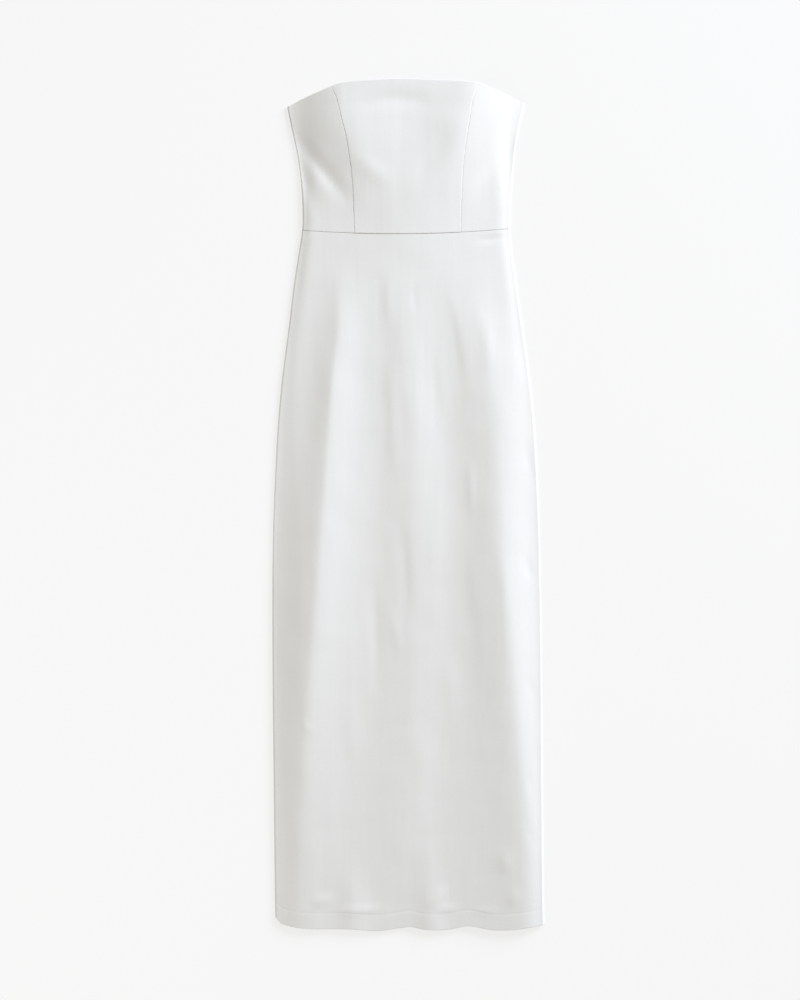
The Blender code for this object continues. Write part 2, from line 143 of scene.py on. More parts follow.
# Soft folds and the fullness of the bust: each follows its stations up the dress, with its crest's place
# and rise and the width of its two flanks. A roundness of 2 is a soft crest, and a lower one a crisper.
Fold = namedtuple("Fold", "roundness stations")
Station = namedtuple("Station", "y x rise left right")
FOLDS = {
    "left_fold": Fold(1.5, (
        Station(-0.675, -0.176, 0.0040, 0.060, 0.050),
        Station(-0.530, -0.172, 0.0060, 0.060, 0.050),
        Station(-0.340, -0.163, 0.0096, 0.056, 0.048),
        Station(-0.150, -0.147, 0.0120, 0.054, 0.048),
        Station(-0.055, -0.140, 0.0118, 0.046, 0.047),
        Station(0.120, -0.126, 0.0098, 0.033, 0.042),
        Station(0.200, -0.120, 0.0084, 0.028, 0.036),
        Station(0.280, -0.110, 0.0054, 0.026, 0.032),
        Station(0.345, -0.107, 0.0022, 0.026, 0.030),
        Station(0.410, -0.106, 0.0, 0.026, 0.030),
    )),
    "middle_fold": Fold(2.0, (
        Station(-0.640, -0.012, 0.0, 0.045, 0.040),
        Station(-0.530, -0.010, 0.0022, 0.045, 0.036),
        Station(-0.340, 0.006, 0.0030, 0.048, 0.045),
        Station(-0.150, 0.012, 0.0038, 0.048, 0.055),
        Station(-0.055, 0.012, 0.0050, 0.050, 0.050),
        Station(0.120, 0.008, 0.0048, 0.046, 0.034),
        Station(0.200, 0.002, 0.0040, 0.038, 0.032),
        Station(0.280, -0.006, 0.0024, 0.028, 0.040),
        Station(0.345, -0.010, 0.0008, 0.026, 0.040),
        Station(0.400, -0.012, 0.0, 0.026, 0.040),
    )),
    "right_fold": Fold(1.75, (
        Station(-0.675, 0.194, 0.0070, 0.082, 0.042),
        Station(-0.532, 0.190, 0.0094, 0.082, 0.042),
        Station(-0.340, 0.170, 0.0110, 0.068, 0.044),
        Station(-0.150, 0.153, 0.0118, 0.056, 0.048),
        Station(-0.055, 0.145, 0.0112, 0.055, 0.050),
        Station(0.120, 0.138, 0.0084, 0.052, 0.048),
        Station(0.200, 0.130, 0.0068, 0.047, 0.045),
        Station(0.280, 0.115, 0.0042, 0.042, 0.042),
        Station(0.345, 0.100, 0.0016, 0.040, 0.042),
        Station(0.410, 0.096, 0.0, 0.040, 0.042),
    )),
    "left_side": Fold(2.0, (
        Station(-0.675, -0.2110, -0.0040, 0.030, 0.036),
        Station(-0.436, -0.2142, -0.0050, 0.030, 0.038),
        Station(-0.246, -0.2160, -0.0052, 0.030, 0.040),
        Station(-0.055, -0.2153, -0.0045, 0.030, 0.034),
        Station(0.088, -0.2097, -0.0029, 0.030, 0.024),
        Station(0.184, -0.2026, -0.0026, 0.030, 0.018),
        Station(0.300, -0.1880, -0.0026, 0.030, 0.013),
        Station(0.435, -0.1690, -0.0028, 0.030, 0.010),
        Station(0.500, -0.1695, -0.0032, 0.030, 0.012),
        Station(0.550, -0.1755, -0.0042, 0.030, 0.022),
        Station(0.600, -0.1860, -0.0054, 0.030, 0.032),
        Station(0.640, -0.1927, -0.0054, 0.030, 0.036),
    )),
    "right_side": Fold(2.0, (
        Station(-0.675, 0.2160, -0.0050, 0.020, 0.030),
        Station(-0.532, 0.2140, -0.0058, 0.021, 0.030),
        Station(-0.340, 0.2125, -0.0058, 0.030, 0.030),
        Station(-0.150, 0.2105, -0.0054, 0.035, 0.030),
        Station(-0.055, 0.2085, -0.0050, 0.034, 0.030),
        Station(0.088, 0.2029, -0.0034, 0.026, 0.030),
        Station(0.184, 0.1949, -0.0027, 0.018, 0.030),
        Station(0.300, 0.1790, -0.0026, 0.013, 0.030),
        Station(0.435, 0.1616, -0.0028, 0.010, 0.030),
        Station(0.500, 0.1635, -0.0030, 0.012, 0.030),
        Station(0.550, 0.1680, -0.0036, 0.020, 0.030),
        Station(0.600, 0.1765, -0.0045, 0.030, 0.030),
        Station(0.640, 0.1840, -0.0045, 0.034, 0.030),
    )),
    "left_hem_wave": Fold(2.0, (
        Station(-0.675, -0.088, 0.0026, 0.020, 0.024),
        Station(-0.610, -0.092, 0.0018, 0.020, 0.024),
        Station(-0.520, -0.096, 0.0, 0.020, 0.024),
    )),
    "right_hem_wave": Fold(2.0, (
        Station(-0.675, 0.036, 0.0030, 0.020, 0.022),
        Station(-0.600, 0.032, 0.0018, 0.020, 0.022),
        Station(-0.500, 0.028, 0.0, 0.020, 0.022),
    )),
    "midriff": Fold(2.0, (
        Station(0.060, -0.010, 0.0, 0.120, 0.120),
        Station(0.200, -0.008, 0.0015, 0.120, 0.120),
        Station(0.330, -0.006, 0.0045, 0.120, 0.120),
        Station(0.430, -0.004, 0.0072, 0.120, 0.120),
        Station(0.500, -0.004, 0.0094, 0.120, 0.120),
        Station(0.580, -0.004, 0.0100, 0.120, 0.120),
        Station(0.675, -0.004, 0.0100, 0.120, 0.120),
    )),
    "left_bust": Fold(1.7, (
        Station(0.450, -0.072, 0.0, 0.050, 0.050),
        Station(0.517, -0.080, 0.0030, 0.045, 0.060),
        Station(0.565, -0.090, 0.0072, 0.056, 0.060),
        Station(0.605, -0.103, 0.0094, 0.062, 0.068),
        Station(0.640, -0.107, 0.0094, 0.062, 0.075),
        Station(0.675, -0.110, 0.0080, 0.062, 0.080),
    )),
    "right_bust": Fold(1.8, (
        Station(0.450, 0.060, 0.0, 0.050, 0.050),
        Station(0.517, 0.070, 0.0026, 0.050, 0.050),
        Station(0.565, 0.074, 0.0060, 0.045, 0.055),
        Station(0.605, 0.084, 0.0082, 0.048, 0.060),
        Station(0.640, 0.096, 0.0084, 0.052, 0.060),
        Station(0.675, 0.104, 0.0072, 0.055, 0.060),
    )),
    "top_flare": Fold(2.0, (
        Station(0.630, -0.004, 0.0, 0.120, 0.120),
        Station(0.675, -0.004, 0.0024, 0.120, 0.120),
    )),
}

# Creases given one by one: from start by way of middle to end, as ridges or, below zero, as troughs
Crease = namedtuple("Crease", "start middle end rise left_width right_width")
SKIRT_CREASES = (
    # from the waist down between the folds
    Crease((-0.030, 0.372), (-0.033, 0.325), (-0.030, 0.270), 0.0007, 0.007, 0.012),
    Crease((-0.028, 0.250), (-0.026, 0.150), (-0.018, 0.030), 0.0008, 0.009, 0.012),
    Crease((0.009, 0.360), (0.010, 0.330), (0.012, 0.290), -0.0004, 0.006, 0.005),
    Crease((0.066, 0.345), (0.083, 0.270), (0.100, 0.150), 0.0009, 0.008, 0.014),
    Crease((0.045, 0.270), (0.052, 0.200), (0.058, 0.120), 0.0004, 0.007, 0.010),
    Crease((0.096, 0.080), (0.099, 0.030), (0.101, -0.040), 0.0006, 0.007, 0.006),
    Crease((0.120, 0.310), (0.126, 0.260), (0.131, 0.205), 0.0006, 0.010, 0.007),
    # below the hips
    Crease((-0.014, -0.010), (-0.006, -0.090), (-0.001, -0.200), -0.0009, 0.011, 0.008),
    Crease((-0.058, -0.090), (-0.052, -0.190), (-0.050, -0.310), -0.0011, 0.013, 0.009),
    Crease((-0.032, -0.150), (-0.021, -0.200), (-0.012, -0.250), 0.0006, 0.009, 0.008),
    Crease((0.058, -0.200), (0.065, -0.290), (0.075, -0.390), 0.0006, 0.012, 0.012),
    Crease((0.100, -0.060), (0.110, -0.150), (0.120, -0.260), 0.0007, 0.012, 0.014),
    Crease((0.143, -0.040), (0.152, -0.130), (0.160, -0.260), 0.0005, 0.008, 0.009),
    Crease((-0.094, -0.240), (-0.090, -0.340), (-0.088, -0.450), 0.0005, 0.012, 0.012),
    Crease((0.018, -0.330), (0.022, -0.430), (0.020, -0.540), 0.0005, 0.014, 0.012),
    Crease((-0.168, -0.335), (-0.160, -0.352), (-0.148, -0.346), 0.0006, 0.006, 0.006),
    # at the right side seam
    Crease((0.185, 0.110), (0.190, 0.070), (0.199, 0.035), -0.0005, 0.006, 0.006),
    Crease((0.184, -0.070), (0.190, -0.100), (0.200, -0.125), -0.0006, 0.006, 0.006),
    Crease((0.186, -0.260), (0.193, -0.290), (0.203, -0.305), -0.0005, 0.006, 0.006),
    Crease((0.186, -0.400), (0.192, -0.440), (0.203, -0.460), -0.0005, 0.006, 0.006),
    Crease((0.186, -0.480), (0.192, -0.520), (0.203, -0.545), -0.0005, 0.006, 0.006),
    # at the waist seam
    Crease((0.098, 0.4195), (0.132, 0.4225), (0.166, 0.4290), -0.0010, 0.0036, 0.0036),
    Crease((-0.171, 0.418), (-0.165, 0.421), (-0.158, 0.420), 0.0005, 0.0030, 0.0030),
    # light puckers over the hem
    Crease((-0.155, -0.632), (-0.138, -0.627), (-0.112, -0.615), 0.0013, 0.009, 0.009),
    Crease((-0.125, -0.641), (-0.075, -0.642), (-0.030, -0.638), 0.0010, 0.007, 0.007),
    Crease((0.022, -0.640), (0.046, -0.622), (0.056, -0.598), 0.0011, 0.009, 0.009),
    Crease((0.040, -0.645), (0.060, -0.640), (0.084, -0.642), 0.0008, 0.007, 0.007),
    Crease((0.150, -0.585), (0.153, -0.565), (0.152, -0.540), 0.0008, 0.010, 0.009),
    Crease((0.158, -0.635), (0.167, -0.622), (0.172, -0.600), 0.0009, 0.009, 0.009),
    Crease((0.100, -0.641), (0.125, -0.643), (0.148, -0.640), 0.0006, 0.006, 0.006),
)
BACK_CREASES = (
    Crease((-0.060, 0.360), (-0.085, 0.180), (-0.098, -0.020), -0.0011, 0.016, 0.022),
    Crease((-0.150, 0.230), (-0.165, 0.020), (-0.160, -0.210), -0.0009, 0.020, 0.015),
    Crease((-0.070, -0.150), (-0.088, -0.340), (-0.095, -0.560), -0.0010, 0.018, 0.024),
    Crease((0.050, 0.330), (0.072, 0.120), (0.088, -0.120), -0.0012, 0.022, 0.016),
    Crease((0.140, 0.250), (0.158, 0.060), (0.162, -0.130), -0.0009, 0.015, 0.020),
    Crease((0.110, -0.160), (0.122, -0.370), (0.130, -0.580), -0.0010, 0.024, 0.017),
    Crease((-0.130, -0.430), (-0.140, -0.520), (-0.150, -0.600), -0.0007, 0.012, 0.010),
    Crease((0.040, -0.500), (0.048, -0.570), (0.055, -0.630), -0.0007, 0.011, 0.014),
    Crease((-0.145, 0.575), (-0.115, 0.520), (-0.075, 0.470), -0.0008, 0.012, 0.016),
    Crease((0.140, 0.580), (0.112, 0.525), (0.070, 0.475), -0.0009, 0.015, 0.012),
)
BODICE_CREASES = (
    # drawn from the underarms down to the waist
    Crease((-0.192, 0.606), (-0.140, 0.536), (-0.084, 0.470), -0.0022, 0.011, 0.013),
    Crease((-0.182, 0.580), (-0.162, 0.515), (-0.142, 0.450), -0.0016, 0.010, 0.014),
    Crease((0.184, 0.606), (0.144, 0.545), (0.096, 0.480), -0.0016, 0.013, 0.012),
    Crease((0.176, 0.590), (0.162, 0.530), (0.150, 0.470), -0.0010, 0.012, 0.010),
    # across the top and down to the middle
    Crease((-0.095, 0.624), (-0.020, 0.644), (0.050, 0.628), -0.0011, 0.011, 0.012),
    Crease((-0.094, 0.562), (-0.056, 0.530), (-0.018, 0.502), 0.0012, 0.016, 0.014),
    Crease((0.078, 0.610), (0.044, 0.560), (-0.004, 0.506), -0.0012, 0.016, 0.016),
)

# How a crease is worked out: stretches of its curve, widths that its flanks reach, and how its ends fade
CREASE_STRETCHES = 12
CREASE_REACH = 3
CREASE_FADE = 1.5

# Slight waviness of the cloth, as long ripples that snake, each with its turn, length and share
Ripple = namedtuple("Ripple", "turn length share")
RIPPLES = (
    Ripple(0.2, 0.083, 1.0),
    Ripple(1.1, 0.061, 0.7),
    Ripple(-0.7, 0.047, 0.5),
    Ripple(1.45, 0.113, 0.8),
)
RIPPLE_HEIGHT = 0.00006
SNAKE_SWING = 2.1
SNAKE_LENGTH = 2.3

# Flat cut of each panel, without its seam allowances
Cut = namedtuple("Cut", "width length area")

# Pattern of the weave, with scales across, along and through the cloth, and the depth of its relief
STREAK_SCALE = (160.0, 7.0, 40.0)
GRAIN_SCALE = 620.0
GRAIN_SHARE = 0.7
TINT_SPREAD = 0.05
WEAVE_TURN = math.radians(63)
WAVE_RADIAN = 0.05  # metres in which the wave pattern turns one radian at a scale of 1
FACE_DEPTH = 0.00003
REVERSE_DEPTH = 0.00004
DRAWN_SCALE = (34.0, 5.0, 20.0)
DRAWN_DEPTH = 0.0006

# Lamps round the dress, with angles in degrees, and the rest of the stage
Lamp = namedtuple("Lamp", "name colour size azimuth elevation distance")
KEY = Lamp("key_light", (0.87, 0.92, 1.0), 2.6, 40.0, 25.0, 5.4)
FILL = Lamp("fill_light", (1.0, 0.95, 0.86), 1.8, 205.0, 30.0, 3.0)
SKY_COLOUR = (1.0, 0.965, 0.86, 1.0)
TOWARDS_KEY = (0.7, 0.7, 0.0)
FLOOR_REACH = 9.0
SENSOR_WIDTH = 36.0


class ClothSizes(bpy.types.PropertyGroup):
    """Sizes of the cloth, its seams and its hem."""

    wall: bpy.props.FloatProperty(
        name="Cloth", description="Thickness of a panel's wall", default=0.0010, unit="LENGTH"
    )
    seam_gap: bpy.props.FloatProperty(
        name="Seam gap", description="Clear width between two panels", default=0.00014, unit="LENGTH"
    )
    seam_height: bpy.props.FloatProperty(
        name="Side seam height", description="Height of the side seams", default=0.0035, unit="LENGTH"
    )
    back_roll: bpy.props.FloatProperty(
        name="Back roll", description="Width over which the back turns up", default=0.0035, unit="LENGTH"
    )
    front_roll: bpy.props.FloatProperty(
        name="Front roll", description="Width over which the front turns down", default=0.004, unit="LENGTH"
    )
    front_level: bpy.props.FloatProperty(
        name="Front level", description="Height of the front between its folds", default=0.0078, unit="LENGTH"
    )
    bodice_proud: bpy.props.FloatProperty(
        name="Bodice step", description="Step up from skirt to bodice", default=0.0005, unit="LENGTH"
    )
    centre_proud: bpy.props.FloatProperty(
        name="Centre step", description="Step up to the centre panel", default=0.0003, unit="LENGTH"
    )
    off_surface: bpy.props.FloatProperty(
        name="Off the surface", description="Air under the back", default=0.0002, unit="LENGTH"
    )
    seam_depth: bpy.props.FloatProperty(
        name="Seam depth", description="How far a panel dips into a seam", default=0.00032, unit="LENGTH"
    )
    seam_round: bpy.props.FloatProperty(
        name="Seam round", description="Width over which a panel dips into a seam",
        default=0.0018, unit="LENGTH",
    )
    hem_depth: bpy.props.FloatProperty(
        name="Hem depth", description="Height of the turned-up hem", default=0.0254, unit="LENGTH"
    )
    stitch_depth: bpy.props.FloatProperty(
        name="Stitch depth", description="How deep the hem's line is drawn in", default=0.00012, unit="LENGTH"
    )
    stitch_round: bpy.props.FloatProperty(
        name="Stitch round", description="Width over which it is drawn in", default=0.0009, unit="LENGTH"
    )
    spacing: bpy.props.FloatProperty(
        name="Mesh spacing", description="Length of a face between the seams", default=0.0042, unit="LENGTH"
    )


class SatinLook(bpy.types.PropertyGroup):
    """Colour and sheen of the satin."""

    colour: bpy.props.FloatVectorProperty(
        name="Colour", description="Colour of the satin", default=(0.804, 0.799, 0.798), subtype="COLOR"
    )
    reverse: bpy.props.FloatVectorProperty(
        name="Reverse", description="Colour of its dull side", default=(0.745, 0.735, 0.725), subtype="COLOR"
    )
    roughness: bpy.props.FloatProperty(
        name="Roughness", description="Spread of the sheen", default=0.42, min=0.0, max=1.0
    )
    reverse_roughness: bpy.props.FloatProperty(
        name="Reverse roughness", description="Spread on the dull side", default=0.7, min=0.0, max=1.0
    )
    sheen: bpy.props.FloatProperty(
        name="Sheen", description="Soft light at grazing angles", default=0.15, min=0.0, max=1.0
    )
    thread: bpy.props.FloatProperty(
        name="Thread", description="Distance between two weave lines", default=0.0004, unit="LENGTH"
    )


class StageLook(bpy.types.PropertyGroup):
    """Camera, floor and lights."""

    camera_height: bpy.props.FloatProperty(
        name="Camera height", description="Height over the surface", default=3.5, unit="LENGTH"
    )
    frame_height: bpy.props.FloatProperty(
        name="Frame height", description="Height of the picture at the dress", default=1.5901, unit="LENGTH"
    )
    camera_x: bpy.props.FloatProperty(
        name="Camera X", description="Picture's centre across", default=-0.0134, unit="LENGTH"
    )
    camera_y: bpy.props.FloatProperty(
        name="Camera Y", description="Picture's centre along", default=0.0088, unit="LENGTH"
    )
    floor: bpy.props.FloatVectorProperty(
        name="Floor", description="Colour of the surface", default=(0.20, 0.20, 0.20), subtype="COLOR"
    )
    floor_glow: bpy.props.FloatProperty(
        name="Floor glow", description="Light that comes through the surface", default=0.735, min=0.0
    )
    floor_even: bpy.props.FloatProperty(
        name="Floor evening", description="How fast its glow falls towards the key, a metre",
        default=0.026, min=0.0,
    )
    key_watts: bpy.props.FloatProperty(
        name="Key", description="Power of the light from the upper right", default=425.0, unit="POWER"
    )
    fill_watts: bpy.props.FloatProperty(
        name="Fill", description="Power of the light from the left", default=20.0, unit="POWER"
    )
    sky: bpy.props.FloatProperty(
        name="Sky", description="Strength of the light from all round", default=0.36, min=0.0
    )


def read(rows, key, column):
    """The column at keys between the rows, on a smooth curve that levels off at its two ends."""
    keys = np.array([row[0] for row in rows])
    values = np.array([getattr(row, column) for row in rows])
    after = np.minimum(np.arange(len(rows)) + 1, len(rows) - 1)
    before = np.maximum(np.arange(len(rows)) - 1, 0)
    slopes = (values[after] - values[before]) / (keys[after] - keys[before])
    slopes[[0, -1]] = 0.0
    key = np.clip(key, keys[0], keys[-1])
    low = np.clip(np.searchsorted(keys, key, side="right") - 1, 0, len(rows) - 2)
    span = keys[low + 1] - keys[low]
    t = (key - keys[low]) / span
    ease = t * t * (3 - 2 * t)
    leave = t * (1 - t) ** 2 * span * slopes[low]
    arrive = t * t * (t - 1) * span * slopes[low + 1]
    return values[low] * (1 - ease) + values[low + 1] * ease + leave + arrive


def fold_height(x, y):
    """Height of the main folds and of the bust's fullness over the front's level."""
    height = np.zeros_like(x)
    for fold in FOLDS.values():
        away = x - read(fold.stations, y, "x")
        width = np.where(away < 0, read(fold.stations, y, "left"), read(fold.stations, y, "right"))
        height += read(fold.stations, y, "rise") * np.exp(-(np.abs(away / width) ** fold.roundness))
    return height


def crease_height(creases, x, y):
    """Height of the creases: each follows a curve, fades at both ends, and has a steep and a soft side."""
    height = np.zeros_like(x)
    steps = np.linspace(0, 1, CREASE_STRETCHES + 1)[:, None]
    for crease in creases:
        start, middle, end = (np.array(point) for point in (crease.start, crease.middle, crease.end))
        bend = 2 * middle - (start + end) / 2
        path = start * (1 - steps) ** 2 + bend * 2 * steps * (1 - steps) + end * steps**2
        reach = CREASE_REACH * max(crease.left_width, crease.right_width)
        low, high = path.min(axis=0) - reach, path.max(axis=0) + reach
        near = np.nonzero((x > low[0]) & (x < high[0]) & (y > low[1]) & (y < high[1]))[0]
        if not len(near):
            continue
        runs = np.diff(path, axis=0)
        away = np.stack([x[near, None] - path[None, :-1, 0], y[near, None] - path[None, :-1, 1]], axis=-1)
        share = np.clip((away * runs).sum(axis=-1) / (runs**2).sum(axis=-1), 0, 1)
        offset = away - share[..., None] * runs
        distance = np.linalg.norm(offset, axis=-1)
        closest = distance.argmin(axis=1)
        picked = np.arange(len(near)), closest
        along = (closest + share[picked]) / len(runs)
        sideways = runs[closest, 1] * offset[picked][:, 0] - runs[closest, 0] * offset[picked][:, 1]
        uphill = 1.0 if end[1] > start[1] else -1.0
        width = np.where(sideways * uphill > 0, crease.right_width, crease.left_width)
        fade = np.sin(math.pi * along) ** CREASE_FADE
        height[near] += crease.rise * fade * np.exp(-((distance[picked] / width) ** 2))
    return height


def unevenness(x, y):
    """The cloth's slight waviness, as a few long ripples in different directions."""
    height = np.zeros_like(x)
    for ripple in RIPPLES:
        across = x * math.cos(ripple.turn) + y * math.sin(ripple.turn)
        along = y * math.cos(ripple.turn) - x * math.sin(ripple.turn)
        snake = SNAKE_SWING * np.sin(2 * math.pi * along / (SNAKE_LENGTH * ripple.length))
        height += ripple.share * np.sin(2 * math.pi * across / ripple.length + snake)
    return height * RIPPLE_HEIGHT


def waist(x):
    share = x / HALF_WAIST
    return WAIST_Y + WAIST_LIFT * share**2 + WAIST_TILT * share


def line_of(rows, column):
    return lambda at: read(rows, at, column)


def beside(line, offset):
    return lambda at: line(at) + offset


def centre_back(y):
    return np.full_like(y, CENTRE_BACK_X)


outline_left = line_of(OUTLINE, "left")
outline_right = line_of(OUTLINE, "right")
princess_left = line_of(PRINCESS_SEAMS, "left")
princess_right = line_of(PRINCESS_SEAMS, "right")
hem = line_of(HEM, "y")
top_edge = line_of(TOP_EDGE, "y")
back_top_edge = line_of(BACK_TOP_EDGE, "y")

# A cut piece: its face, its four edges as lines, what each edge is, and how far it stands out.
# An edge is a "roll" into a side seam, a "seam" with the next panel, or a "fold" that ends the cloth.
Panel = namedtuple("Panel", "front left right low high left_edge right_edge low_edge high_edge proud creases")

# Mesh lines: distances from an edge, steps round a roll, how far even lines keep from those at an edge
# in their own depth, how near two lines may lie, and distances from the hem's line
FINE_STOPS = (0.0, 0.0003, 0.0007, 0.0012, 0.0018, 0.0027)
ROLL_STEPS = 10
CLEAR_OF_FINE = 1.5
LEAST_SPACING = 0.0004
HEM_LINE_STOPS = (-0.0012, -0.0006, 0.0, 0.0006, 0.0012)

# Rounds in which a point's two coordinates settle, and the rounding of a folded edge, in walls
SETTLING_ROUNDS = 7
FOLD_ROUND = 0.6
FOLD_DEPTH = 0.42
SHARP_ANGLE = math.radians(60)


def stops_along(length, spacing, fine_start, fine_end, extra=()):
    """Shares of a length, closer together where it starts or ends in an edge, and at extra distances."""
    places = set(np.linspace(0, 1, max(2, round(length / spacing)) + 1))
    margin = FINE_STOPS[-1] / length
    if fine_start:
        places = {place for place in places if place > CLEAR_OF_FINE * margin}
        places |= {stop / length for stop in FINE_STOPS}
    if fine_end:
        places = {place for place in places if place < 1 - CLEAR_OF_FINE * margin}
        places |= {1 - stop / length for stop in FINE_STOPS}
    for stop in extra:
        share = stop / length
        places = {place for place in places if abs(place - share) > LEAST_SPACING / length} | {share}
    return np.array(sorted(places))


def columns_of(panel, spacing):
    """A side and a share for each column: -1 round the left roll, 0 between, 1 round the right roll."""
    middle = np.array([(float(panel.low(np.zeros(1))[0]) + float(panel.high(np.zeros(1))[0])) / 2])
    width = float(panel.right(middle)[0] - panel.left(middle)[0])
    between = stops_along(width, spacing, panel.left_edge != "roll", panel.right_edge != "roll")
    turns = np.arange(ROLL_STEPS) / ROLL_STEPS
    sides = [np.zeros(len(between))]
    shares = [between]
    if panel.left_edge == "roll":
        sides.insert(0, np.full(ROLL_STEPS, -1.0))
        shares.insert(0, turns)
    if panel.right_edge == "roll":
        sides.append(np.full(ROLL_STEPS, 1.0))
        shares.append(turns[::-1])
    return np.concatenate(sides), np.concatenate(shares)


def dip(distance, width, depth):
    """A quarter round from depth at an edge to nothing a width away from it."""
    near = np.clip(1 - distance / width, 0, 1)
    return depth * (1 - np.sqrt(1 - near**2))


def panel_points(panel, sides, shares, levels, inner, sizes):
    """Places of a panel's points, given each one's column, its share of the height and its layer."""
    facing = 1 if panel.front else -1
    roll = sizes.front_roll if panel.front else sizes.back_roll
    seam = sizes.seam_height + (sizes.seam_gap if panel.front else 0.0)
    rolls_left, rolls_right = panel.left_edge == "roll", panel.right_edge == "roll"
    inset = np.where(inner, sizes.wall, 0.0)
    turn = np.where(sides == 0, 0.0, shares * math.pi / 2)
    swing = 1 - np.cos(turn)

    def height(x, y):
        if not panel.front:
            return np.full_like(x, sizes.off_surface)
        return sizes.front_level + fold_height(x, y)

    x = np.zeros_like(shares)
    y = (panel.low(x) + panel.high(x)) / 2
    for _ in range(SETTLING_ROUNDS):
        left, right = panel.left(y), panel.right(y)
        start, end = left + roll * rolls_left, right - roll * rolls_right
        x = np.where(sides < 0, left + roll * swing, np.where(sides > 0, right - roll * swing, 0.0))
        x = np.where(sides == 0, start + (end - start) * shares, x)
        y = panel.low(x) + (panel.high(x) - panel.low(x)) * levels

    shoulder = np.where(sides < 0, start, end)
    rise = np.abs(height(shoulder, y) - seam) + panel.proud
    rolled = seam + facing * (rise - inset) * np.sin(turn)
    flat = height(x, y) + facing * (panel.proud - inset)
    z = np.where(sides == 0, flat, rolled)
    firmness = np.where(sides == 0, 1.0, np.sin(turn) ** 2)
    relief = crease_height(panel.creases, x, y)
    z += firmness * (relief + unevenness(x, y) if panel.front else np.maximum(-relief, 0.0))
    if panel.low_edge == "fold":
        from_line = (y - panel.low(x) - sizes.hem_depth) / sizes.stitch_round
        z -= facing * np.where(inner, 0.0, sizes.stitch_depth * np.exp(-(from_line**2)))

    edges = (
        (panel.left_edge, x - left), (panel.right_edge, right - x),
        (panel.low_edge, y - panel.low(x)), (panel.high_edge, panel.high(x) - y),
    )
    for kind, distance in edges:
        if kind == "seam":
            z -= facing * np.where(inner, 0.0, dip(distance, sizes.seam_round, sizes.seam_depth))
        elif kind == "fold":
            rounding = dip(distance, sizes.wall * FOLD_ROUND, sizes.wall * FOLD_DEPTH)
            z += facing * np.where(inner, rounding, -rounding)
    inward = np.where(sides < 0, 1.0, -1.0)
    x = x + np.where(sides == 0, 0.0, inward * inset * (1 - swing))
    return np.stack([x, y, z], axis=1)


def link(obj):
    bpy.context.scene.collection.objects.link(obj)
    return obj


def object_from(name, bm, materials):
    """A smooth-shaded object at the origin from a finished bmesh."""
    mesh = bpy.data.meshes.new(name)
    bm.to_mesh(mesh)
    bm.free()
    mesh.shade_smooth()
    mesh.set_sharp_from_angle(angle=SHARP_ANGLE)
    for material in materials:
        mesh.materials.append(material)
    return link(bpy.data.objects.new(name, mesh))


def add_panel(name, panel, sizes, materials, extra_levels=()):
    """A grid raised to two layers, whose points then take the outer and the inner face of the panel."""
    sides, shares = columns_of(panel, sizes.spacing)
    origin = np.zeros(1)
    tall = float((panel.high(origin) - panel.low(origin))[0])
    levels = stops_along(tall, sizes.spacing, True, True, extra_levels)
    bm = bmesh.new()
    bmesh.ops.create_grid(bm, x_segments=len(shares) - 1, y_segments=len(levels) - 1, size=0.5)
    raised = bmesh.ops.extrude_face_region(bm, geom=bm.faces[:], use_keep_orig=True)["geom"]
    bm.verts.index_update()
    outer = np.zeros(len(bm.verts), bool)
    outer[[part.index for part in raised if isinstance(part, bmesh.types.BMVert)]] = True
    flat = np.array([vertex.co[:2] for vertex in bm.verts])
    column = np.rint((flat[:, 0] + 0.5) * (len(shares) - 1)).astype(int)
    row = np.rint((flat[:, 1] + 0.5) * (len(levels) - 1)).astype(int)
    points = panel_points(panel, sides[column], shares[column], levels[row], ~outer, sizes)
    for vertex, point in zip(bm.verts, points):
        vertex.co = point
    for face in bm.faces:
        face.material_index = 0 if any(outer[vertex.index] for vertex in face.verts) else 1
    bmesh.ops.recalc_face_normals(bm, faces=bm.faces[:])
    return object_from(name, bm, materials)


def node_in(tree, kind, place, **values):
    node = tree.nodes.new(kind)
    node.location = place
    for name, value in values.items():
        if name in node.inputs:
            node.inputs[name].default_value = value
        else:
            setattr(node, name, value)
    return node


def new_material(name, colour, roughness):
    """A Principled material and its shader and tree."""
    material = bpy.data.materials.new(name)
    material.use_nodes = True
    shader = material.node_tree.nodes["Principled BSDF"]
    shader.inputs["Base Color"].default_value = (*colour, 1.0)
    shader.inputs["Roughness"].default_value = roughness
    return material, material.node_tree, shader


